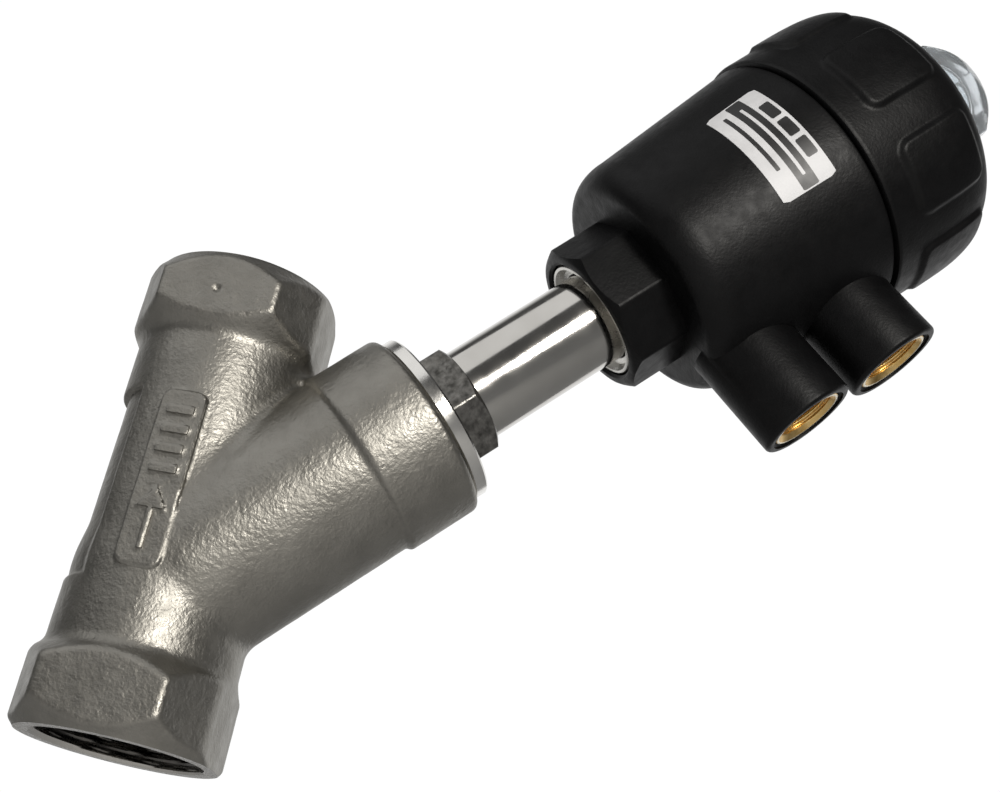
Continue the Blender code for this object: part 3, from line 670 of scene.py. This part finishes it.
def valve_body():
    step = 0.5
    low, high = (-23.5, -23.0, -2 * END_SPARE), (60.5, 23.0, LENGTH + 2 * END_SPARE)
    points, quads = surface_net(uncut_body, low, high, step)
    body = mesh_object("cast_body", points, quads, CAST, END_STEEL, THREADS_PAINTED_SHADE)
    wide, thread = 40, PIPE_THREAD["length"]
    carve(body, block("below", (-wide, -wide, -9), (wide, wide, 0)))
    carve(body, block("above", (-wide, -wide, LENGTH), (wide + 30, wide, LENGTH + 9)))
    carve(body, threaded("inlet_thread", PIPE_THREAD, -2.0, thread, 0.0))
    carve(body, threaded("outlet_thread", PIPE_THREAD, LENGTH - thread, LENGTH + 2.0, LENGTH))
    carve(body, slanted_passage("inlet_passage", SOCKET_END, SEAT_UNDER))
    carve(body, slanted_passage("outlet_passage", LENGTH - SOCKET_END, SEAT_FACE + 0.6))
    top = COLLAR_END + 4
    room = [(0, top), (CHAMBER_R, top), (CHAMBER_R, SEAT_FACE), (SEAT_R, SEAT_FACE)]
    room += [(SEAT_R, SEAT_UNDER - 1), (0, SEAT_UNDER - 1)]
    carve(body, to_upright(lathe("chamber", room, segments=96, turn=0.01)))
    for polygon in body.data.polygons:
        polygon.material_index = surface_kind(polygon.center, polygon.normal)
    finish_piece(body, UPRIGHT, "valve", "cast_stainless", "valve_body", angle=38)


# ---- neck ----
def bonnet():
    """Screwed spigot, flange and hexagon; the hexagon's sides are ground darker."""
    flange = [(0, FLANGE_END + 0.6), (11.2, FLANGE_END + 0.6), (11.2, FLANGE_END + 0.05)]
    flange += [(FLANGE_R - 0.8, FLANGE_END), (FLANGE_R - 0.25, FLANGE_END - 0.15)]
    flange += [(FLANGE_R, FLANGE_END - 0.5)]
    flange += [(FLANGE_R, COLLAR_END + 0.6), (FLANGE_R - 0.3, COLLAR_END + 0.3)]
    flange += [(CHAMBER_R - 0.3, COLLAR_END + 0.3), (CHAMBER_R - 0.3, BONNET_LOW + 0.8)]
    flange += [(CHAMBER_R - 1.1, BONNET_LOW), (0, BONNET_LOW)]
    looks = (BRIGHT, GROUND)
    piece = lathe("bonnet_flange", flange, *looks)
    hexagon = prism("hex", 6, HEX_AF, FLANGE_END - 0.4, BONNET_END, HEX_TURN, *looks, round_over=0.5)
    half = HEX_AF / 2
    shoulder = [(0, BONNET_END + 0.05), (half - 0.3, BONNET_END + 0.05), (half + 1.8, BONNET_END - 1.3)]
    shoulder += [(half + 3.0, FLANGE_END - 1.0), (0, FLANGE_END - 1.0)]
    carve(hexagon, lathe("hex_chamfer", shoulder, turn=0.01), "INTERSECT")
    carve(piece, hexagon, "UNION")
    bore = [(0, BONNET_END + 1), (TUBE_R + 0.15, BONNET_END + 1), (TUBE_R + 0.15, PACKING_END)]
    bore += [(PACKING_R, PACKING_END), (PACKING_R, PACKING_START), (STEM_BORE, PACKING_START)]
    bore += [(STEM_BORE, BONNET_LOW - 1), (0, BONNET_LOW - 1)]
    carve(piece, lathe("bore", bore, segments=120, turn=0.013))
    for polygon in piece.data.polygons:
        r = math.hypot(polygon.center.x, polygon.center.y)
        on_hexagon = polygon.center.z > FLANGE_END + 0.1 and r > TUBE_R + 0.4
        polygon.material_index = 1 if on_hexagon and abs(polygon.normal.z) < 0.9 else 0
    finish_piece(piece, ON_AXIS, "valve", "machined_steel", "bonnet")


def neck_tube():
    wide, start = TUBE_FLANGE_R, TUBE_FLANGE_START
    profile = [(wide, TUBE_END), (wide, start + 0.2), (wide - 0.2, start), (TUBE_R, start), (TUBE_R, 90.0)]
    profile += [(TUBE_R, TUBE_START), (TUBE_BORE, TUBE_START), (TUBE_BORE, TUBE_END)]
    tube = lathe("polished_tube", profile, POLISHED, closed=True, segments=240)
    finish_piece(tube, ON_AXIS, "valve", "polished_steel", "neck_tube")


def swivel_ring():
    """Bright ring round the tube, dished towards it."""
    start = COLLAR8_START
    outer = RECESS_R - 0.3
    profile = [(outer, SWIVEL_END), (outer, start + 0.9), (outer - 0.3, start + 0.5)]
    profile += [(outer - 0.9, start + 0.45), (TUBE_R + 1.4, start + 1.9), (TUBE_R + 0.3, start + 2.2)]
    profile += [(TUBE_R + 0.3, SWIVEL_END)]
    ring = lathe("swivel_ring", profile, TURNED, closed=True, segments=200)
    finish_piece(ring, ON_AXIS, "actuator", "polished_steel", "swivel_nut")


# ---- actuator housing ----
def housing_radius(height):
    """The housing widens evenly from its foot to its rim."""
    share = (height - FOOT_S) / (HOUSING_END - 0.8 - FOOT_S)
    return FOOT_R + FOOT + (RIM_R - FOOT_R - FOOT) * share


def arc_points(center_r, center_s, radius_r, radius_s, start, end, steps):
    """Points of an elliptic rounding, angles in degrees from +r towards +s."""
    turns = np.radians(np.linspace(start, end, steps))
    return [(center_r + radius_r * math.cos(t), center_s + radius_s * math.sin(t)) for t in turns]


def to_port(height):
    """Turns a piece drawn along Z so that it points out of the side at a port's height."""
    return Matrix.Translation((0, 0, height)) @ Matrix.Rotation(math.pi / 2, 4, "Y")


def boss(name, height):
    flat, below = BOSS_R - BOSS_EDGE, PORT_FACE - BOSS_EDGE
    profile = [(0, PORT_FACE), (flat, PORT_FACE)]
    profile += arc_points(flat, below, BOSS_EDGE, BOSS_EDGE, 90, 0, 6)[1:]
    profile += [(BOSS_R, 34.0), (BOSS_R, BOSS_ROOT), (0, BOSS_ROOT)]
    piece = lathe(name, profile, BLACK, segments=128, turn=0.004)
    piece.data.transform(to_port(height))
    return piece


def actuator_housing():
    end = HOUSING_END
    outline = [(0, end), (RIM_R - RIM_EDGE, end)]
    outline += arc_points(RIM_R - RIM_EDGE, end - RIM_EDGE, RIM_EDGE, RIM_EDGE, 90, 0, 5)[1:]
    heights = np.linspace(end - 1.6, FOOT_S, 24)
    outline += [(housing_radius(h), h) for h in heights]
    outline += arc_points(FOOT_R, FOOT_S, FOOT, FOOT_DEPTH, 0, -90, 18)[1:]
    outline += [(18.0, FOOT_S - FOOT_DEPTH), (0, FOOT_S - FOOT_DEPTH)]
    housing = lathe("moulded_housing", outline, BLACK, segments=224)

    collar = prism("collar", 8, COLLAR8_AF, COLLAR8_START, FLOOR - 2, COLLAR8_TURN, BLACK, round_over=0.45)
    corner = COLLAR8_AF / 2 / math.cos(math.pi / 8)
    bevel = [(0, FLOOR), (corner + 1, FLOOR), (corner + 1, COLLAR8_START + 2.4)]
    bevel += [(COLLAR8_AF / 2 - 0.1, COLLAR8_START + 0.25), (COLLAR8_AF / 2 - 0.7, COLLAR8_START - 0.02)]
    bevel += [(0, COLLAR8_START - 0.02)]
    carve(collar, lathe("collar_bevel", bevel, turn=0.011), "INTERSECT")
    carve(housing, collar, "UNION")
    for name, height in PORT_HEIGHTS.items():
        carve(housing, boss("boss_" + name, height), "UNION")

    space = [(0, end + 1), (REBATE_R, end + 1), (REBATE_R, REBATE_START), (CYLINDER_R, REBATE_START)]
    space += [(CYLINDER_R, FLOOR), (BUSH_R, FLOOR), (BUSH_R, RECESS_END), (RECESS_R, RECESS_END)]
    space += [(RECESS_R, COLLAR8_START + 0.5), (RECESS_R + 0.6, COLLAR8_START - 0.1)]
    space += [(RECESS_R + 0.6, COLLAR8_START - 1), (0, COLLAR8_START - 1)]
    carve(housing, lathe("space", space, segments=160, turn=0.007))
    inside = PORT_FACE - INSERT_DEPTH - 0.8
    for name, height in PORT_HEIGHTS.items():
        mouth = [(0, PORT_FACE + 1), (INSERT_R + 0.8, PORT_FACE + 1), (INSERT_R + 0.8, PORT_FACE - 0.5)]
        mouth += [(INSERT_R + 0.3, PORT_FACE - 0.9), (INSERT_R + 0.3, inside), (0, inside)]
        socket = lathe("socket", mouth, segments=96, turn=0.017)
        socket.data.transform(to_port(height))
        carve(housing, socket)
        hole = [(0, inside + 1), (DRILL_R, inside + 1), (DRILL_R, DRILL_END), (0, DRILL_END)]
        drill = lathe("drill", hole, segments=40)
        drill.data.transform(to_port(height + DRILL_ASIDE[name]))
        carve(housing, drill)
    finish_piece(housing, ON_AXIS, "actuator", "black_plastic", "actuator_housing")


def port_inserts():
    """Brass inserts, paler on their end faces."""
    for name, height in PORT_HEIGHTS.items():
        face = PORT_FACE - 0.4
        low = face - INSERT_DEPTH
        profile = [(0, face), (INSERT_R - 0.25, face), (INSERT_R, face - 0.25), (INSERT_R, low), (0, low)]
        insert = lathe("thread_insert_" + name, profile, BRASS, PALE_BRASS, segments=120)
        thread = threaded("thread", PORT_THREAD, low - 1.5, face + 1.0, face, segments=128)
        carve(insert, thread)
        for polygon in insert.data.polygons:
            polygon.material_index = 1 if polygon.center.z > face - 0.02 else 0
        insert.data.transform(to_port(height))
        finish_piece(insert, ON_AXIS, "actuator", "brass", "port_insert_" + name, angle=65)


# ---- cover ----
def cover_outline():
    """Evenly spaced points from the eye down over the shoulder to the seam."""
    rise = COVER_TOP - DOME_START
    turns = np.linspace(math.pi / 2, 0, 4000)
    power = 2 / DOME_POWER
    radius = COVER_R * np.cos(turns).clip(0) ** power
    height = DOME_START + rise * np.sin(turns).clip(0) ** power
    radius = np.append(radius, COVER_R)
    height = np.append(height, COVER_START + 0.5)
    length = np.append(0, np.cumsum(np.hypot(np.diff(radius), np.diff(height))))
    start = np.interp(EYE_R, radius, length)
    at = np.arange(start, length[-1], 0.42)
    return list(zip(np.interp(at, length, radius), np.interp(at, length, height)))


def pad_height(angles, height):
    """1 on a grip pad and 0 in the grooves between pads, with rounded corners."""
    pitch = math.tau / 8
    offset = (angles - PAD_TURN + pitch / 2) % pitch - pitch / 2
    along = (pitch / 2 - np.abs(offset)) * PAD_R
    half = pitch / 2 * PAD_R - PAD_GROOVE / 2
    inside = rounded_rect(along, height, -half, half, PAD_START, PAD_END, 2.4)
    return np.clip(0.5 - inside / 1.5, 0, 1)


def actuator_cover():
    outside = cover_outline()
    outer_rows = len(outside)
    inner = [(COVER_R - 0.15, COVER_START + 0.2), (COVER_R - 0.5, COVER_START), (REBATE_R - 0.3, COVER_START)]
    inner += [(REBATE_R - 0.3, REBATE_START + 2.2), (CYLINDER_R + 0.4, REBATE_START + 2.2)]
    inner += [(CYLINDER_R + 0.4, 172.0), (23.4, 177.5), (21.0, CEILING), (EYE_R, CEILING)]

    def relief(angles, radius, height):
        share = pad_height(angles, height[:outer_rows])
        share = share * share * (3 - 2 * share)
        raised = radius.copy()
        raised[:outer_rows] *= 1 + (PAD_R / COVER_R - 1) * share
        return raised

    cover = lathe("moulded_cover", outside + inner, BLACK, segments=640, closed=True, relief=relief)
    finish_piece(cover, ON_AXIS, "actuator", "black_plastic", "actuator_cover")


def sight_cap():
    start = COVER_TOP + 0.2
    cap = prism("clear_cap", 6, SIGHT_AF, start, SIGHT_END, SIGHT_TURN, CLEAR, round_over=0.5)
    half = SIGHT_AF / 2
    outline = [(0, SIGHT_END + 0.05), (half - 1.2, SIGHT_END + 0.05), (half - 0.4, SIGHT_END - 0.4)]
    outline += [(half + 2.0, SIGHT_END - 3.4), (half + 2.0, start - 1), (0, start - 1)]
    carve(cap, lathe("cap_chamfer", outline, turn=0.009), "INTERSECT")
    spigot = [(0, start + 1), (EYE_R - 0.3, start + 1), (EYE_R - 0.3, CEILING + 0.4), (0, CEILING + 0.4)]
    carve(cap, lathe("spigot", spigot, segments=96, turn=0.02), "UNION")
    top = SIGHT_END - 1.8
    space = [(0, top)] + arc_points(4.7, top - 1.5, 1.5, 1.5, 90, 0, 6)
    space += [(6.2, CEILING - 1), (0, CEILING - 1)]
    carve(cap, lathe("cap_space", space, segments=96, turn=0.03))
    finish_piece(cap, ON_AXIS, "actuator", "clear_plastic", "sight_cap")


# ---- label ----
def patch(points, faces, first, last, low, high, lift, corner, material):
    """Adds a thin rounded patch wrapped round the housing, from turn to turn and height to height."""
    columns, rows = 28, 10
    base = len(points)
    for layer, depth in enumerate((lift, -0.05)):
        for i in range(rows + 1):
            height = low + (high - low) * i / rows
            edge = min(height - low, high - height, corner)
            inset = corner - math.sqrt(max(0.0, corner ** 2 - (corner - edge) ** 2))
            radius = housing_radius(height) + depth
            trim = inset / radius
            for j in range(columns + 1):
                turn = first + trim + (last - first - 2 * trim) * j / columns
                points.append((radius * math.sin(turn), -radius * math.cos(turn), height))
    size = (rows + 1) * (columns + 1)

    def at(layer, i, j):
        return base + layer * size + i * (columns + 1) + j

    for i in range(rows):
        for j in range(columns):
            faces.append(((at(0, i, j), at(0, i, j + 1), at(0, i + 1, j + 1), at(0, i + 1, j)), material))
            faces.append(((at(1, i + 1, j), at(1, i + 1, j + 1), at(1, i, j + 1), at(1, i, j)), material))
    for j in range(columns):
        faces.append(((at(1, 0, j), at(1, 0, j + 1), at(0, 0, j + 1), at(0, 0, j)), material))
        faces.append(((at(0, rows, j), at(0, rows, j + 1), at(1, rows, j + 1), at(1, rows, j)), material))
    for i in range(rows):
        left = (at(0, i, 0), at(0, i + 1, 0), at(1, i + 1, 0), at(1, i, 0))
        faces.append((left, material))
        right = (at(1, i, columns), at(1, i + 1, columns), at(0, i + 1, columns), at(0, i, columns))
        faces.append((right, material))


def label():
    """Silver foil with a black band and plain bars in place of any lettering."""
    first, last = LABEL_TURNS
    width = last - first
    foil, black = 0, 1
    points, faces = [], []
    patch(points, faces, first, last, *LABEL_HEIGHTS, 0.12, 0.5, foil)
    patch(points, faces, first + 0.01, last - 0.01, *LABEL_BAND, 0.15, 0.2, black)
    for number in range(3):
        start = first + width * (0.2 + 0.21 * number)
        patch(points, faces, start, start + width * 0.17, *LABEL_BARS, 0.15, 0.3, black)
    patch(points, faces, first + width * 0.12, last - width * 0.12, *LABEL_BAND_LINE, 0.17, 0.2, foil)
    patch(points, faces, first + width * 0.1, last - width * 0.25, *LABEL_LINE, 0.15, 0.2, black)
    obj = mesh_object("printed_label", points, [face for face, _ in faces], FOIL, PRINT)
    for polygon, (_, material) in zip(obj.data.polygons, faces):
        polygon.material_index = material
    finish_piece(obj, ON_AXIS, "actuator", "label_foil", "label_plate")


# ---- closing springs ----
def closing_spring(node, radius, wire, turns):
    """Round wire with closed ends, drawn over the length of its CAD node."""
    low, high = span(node)
    turn = np.linspace(0, turns, int(turns * 40) + 1)
    coils = [low + wire, low + 3.1 * wire, high - 3.1 * wire, high - wire]
    height = np.interp(turn, [0, 1, turns - 1, turns], coils)
    around = 14
    phi = np.arange(around) * math.tau / around
    out = radius + wire * np.cos(phi)[None, :]
    angle = (turn * math.tau)[:, None]
    up = height[:, None] + wire * np.sin(phi)[None, :]
    points = np.stack([out * np.cos(angle), out * np.sin(angle), up], -1).reshape(-1, 3)
    i, j = np.meshgrid(np.arange(len(turn) - 1), np.arange(around), indexing="ij")
    beside = (j + 1) % around
    corners = [(i, j), (i, beside), (i + 1, beside), (i + 1, j)]
    faces = np.stack([(a * around + b).ravel() for a, b in corners], -1).tolist()
    last = (len(turn) - 1) * around
    faces += [list(range(around)), [last + k for k in range(around)][::-1]]
    mesh = bpy.data.meshes.new("wound_" + node)
    mesh.from_pydata(points.tolist(), [], faces)
    bm = bmesh.new()
    bm.from_mesh(mesh)
    bmesh.ops.recalc_face_normals(bm, faces=bm.faces)
    bm.to_mesh(mesh)
    bm.free()
    obj = add_object("wound_" + node, mesh, SPRING)
    finish_piece(obj, ON_AXIS, "actuator", "spring_steel", node)
    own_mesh(obj)


# ---- pieces inside, kept from the CAD model ----
def dress_cad_nodes():
    looks = {
        "cast_stainless": CAST, "machined_steel": TURNED, "polished_steel": POLISHED,
        "black_plastic": BLACK, "brass": BRASS, "clear_plastic": CLEAR, "white_seal": SEAL,
        "black_rubber": RUBBER, "spring_steel": SPRING, "indicator_red": RED, "label_foil": FOIL,
    }
    for part in frame["record"]["subparts"]:
        node = frame["nodes"][part["node"]]
        node.data.materials.clear()
        node.data.materials.append(looks[part["material_slot"]])
        shade(node.data, 35)


# ---- stage ----
def studio():
    """A pale floor and a surrounding that is white behind the valve and grey at the camera's side."""
    half = FLOOR_HALF
    floor = block("floor", (-half, -half, FLOOR_TOP - FLOOR_THICK), (half, half, FLOOR_TOP))
    floor.data.transform(UPRIGHT)
    floor.data.materials.append(plain_soft("floor", (0.62, 0.62, 0.62), (0.64, 0.64, 0.64), 0.7, 4, 0.0))

    world = bpy.data.worlds.new("studio")
    bpy.context.scene.world = world
    world.use_nodes = True
    tree = world.node_tree
    background = tree.nodes["Background"]
    direction = tree.nodes.new("ShaderNodeTexCoord").outputs["Generated"]
    split = tree.nodes.new("ShaderNodeSeparateXYZ")
    tree.links.new(direction, split.inputs["Vector"])
    ramp = tree.nodes.new("ShaderNodeMapRange")
    for side, height, level in (("Min", 0.3, 0.09), ("Max", 0.62, 1.0)):
        ramp.inputs["From " + side].default_value = height
        ramp.inputs["To " + side].default_value = level
    tree.links.new(split.outputs["Y"], ramp.inputs["Value"])
    tree.links.new(ramp.outputs["Result"], background.inputs["Color"])
    background.inputs["Strength"].default_value = 1.02


def area_light(name, at, side, power, color):
    """A square light that points at the middle of the valve."""
    light = bpy.data.lights.new(name, "AREA")
    light.shape = "RECTANGLE"
    light.size = light.size_y = side / 1000
    light.energy = power
    light.color = color
    obj = add_object(name, light)
    obj.location = [value / 1000 for value in at]
    target = Vector([value / 1000 for value in LIT_CENTER])
    obj.rotation_euler = (target - obj.location).to_track_quat("-Z", "Y").to_euler()


def camera():
    location = Vector(CAMERA_AT) / 1000
    forward = (Vector(CAMERA_AIM) / 1000 - location).normalized()
    level_up = (Vector((0, 0, 1)) - forward * forward.z).normalized()
    up = level_up * math.cos(CAMERA_ROLL) + forward.cross(level_up) * math.sin(CAMERA_ROLL)
    right = forward.cross(up)
    data = bpy.data.cameras.new("camera")
    data.sensor_width = 36.0
    data.lens = CAMERA_LENS
    data.shift_x, data.shift_y = CAMERA_SHIFT
    data.clip_start = 0.01
    obj = add_object("camera", data)
    obj.matrix_world = Matrix.Translation(location) @ Matrix((right, up, -forward)).transposed().to_4x4()
    bpy.context.scene.camera = obj


studio()
for name, light in LIGHTS.items():
    area_light(name, **light)
bpy.context.scene.view_settings.view_transform = "Standard"
camera()

dress_cad_nodes()
valve_body()
bonnet()
neck_tube()
swivel_ring()
actuator_housing()
port_inserts()
actuator_cover()
sight_cap()
label()
for spring, sizes in SPRINGS.items():
    closing_spring(spring, *sizes)
